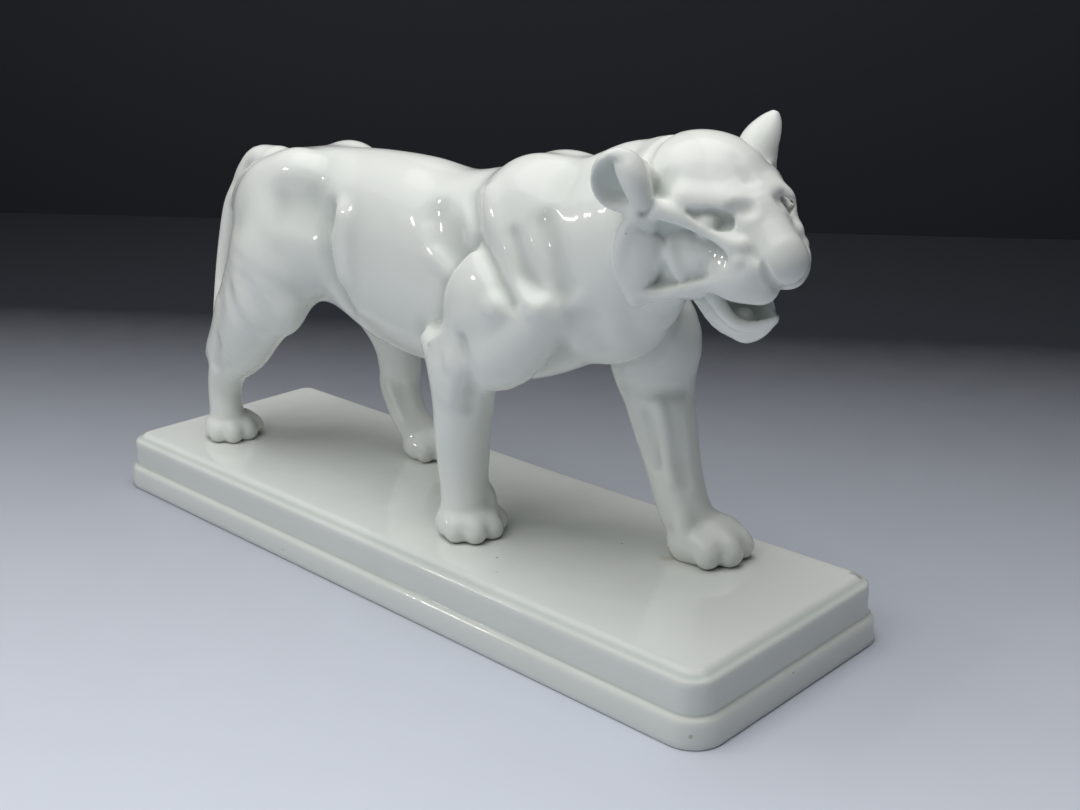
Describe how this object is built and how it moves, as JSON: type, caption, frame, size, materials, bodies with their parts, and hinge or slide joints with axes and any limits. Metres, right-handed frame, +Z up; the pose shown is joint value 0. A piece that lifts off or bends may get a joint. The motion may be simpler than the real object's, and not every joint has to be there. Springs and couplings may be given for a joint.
{
  "type": "porcelain animal figurine",
  "caption": "Glazed white porcelain tiger walking with its mouth open, standing on a long rectangular stepped plinth with softly rounded corners.",
  "frame": {"origin": "centre of the plinth's underside, on the ground", "axes": "+Z up, +X along the plinth in the direction the tiger walks, +Y to the tiger's left"},
  "size_m": [0.36, 0.117, 0.1976],
  "materials": {
    "glazed_porcelain": "clear gloss glaze over a cool white porcelain body"
  },
  "bodies": {
    "root": {"tiger": "glazed_porcelain", "plinth": "glazed_porcelain"}
  },
  "joints": []
}
